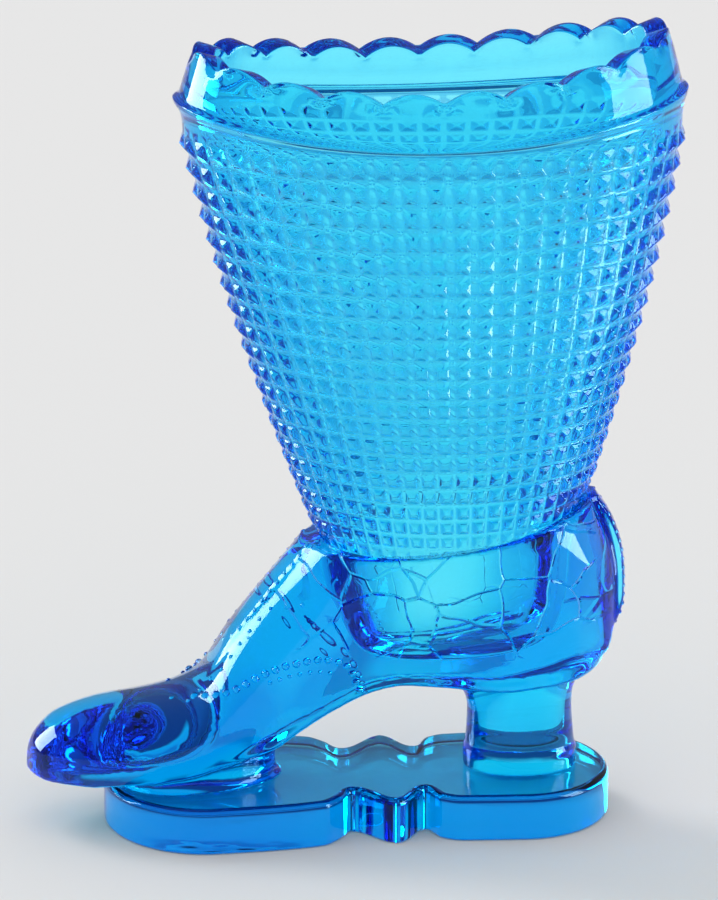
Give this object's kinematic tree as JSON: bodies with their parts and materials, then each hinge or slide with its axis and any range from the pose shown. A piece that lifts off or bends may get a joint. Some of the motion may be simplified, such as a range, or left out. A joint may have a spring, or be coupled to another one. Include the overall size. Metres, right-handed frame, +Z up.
{
  "type": "glass boot vase",
  "caption": "Pressed glass lady's boot with a hollow leg for a small bouquet: diamond-point leg, scalloped saddle mouth, heel and ball pad standing on a waisted base plate.",
  "frame": {"origin": "middle of the bounding box on the underside of the base plate, where the boot stands", "axes": "+Z up the leg, -X towards the toe, +X towards the heel, Y across the boot"},
  "size_m": [0.1054, 0.0498, 0.129],
  "materials": {
    "blue_glass_pale": "smooth pressed glass, fire polished",
    "blue_glass_shoe": "smooth pressed glass, fire polished",
    "blue_glass_thick": "smooth pressed glass, fire polished",
    "blue_glass_rim": "smooth pressed glass, fire polished"
  },
  "bodies": {
    "root": {"base_plate": "blue_glass_thick", "ball_pad": "blue_glass_thick", "heel_block": "blue_glass_pale", "sole": "blue_glass_thick", "vamp": "blue_glass_shoe", "quarter": "blue_glass_shoe", "instep_placket": "blue_glass_shoe", "back_strap": "blue_glass_shoe", "leg_wall": "blue_glass_pale", "diamond_field": "blue_glass_pale", "collar": "blue_glass_pale", "scalloped_rim": "blue_glass_rim"}
  },
  "joints": []
}
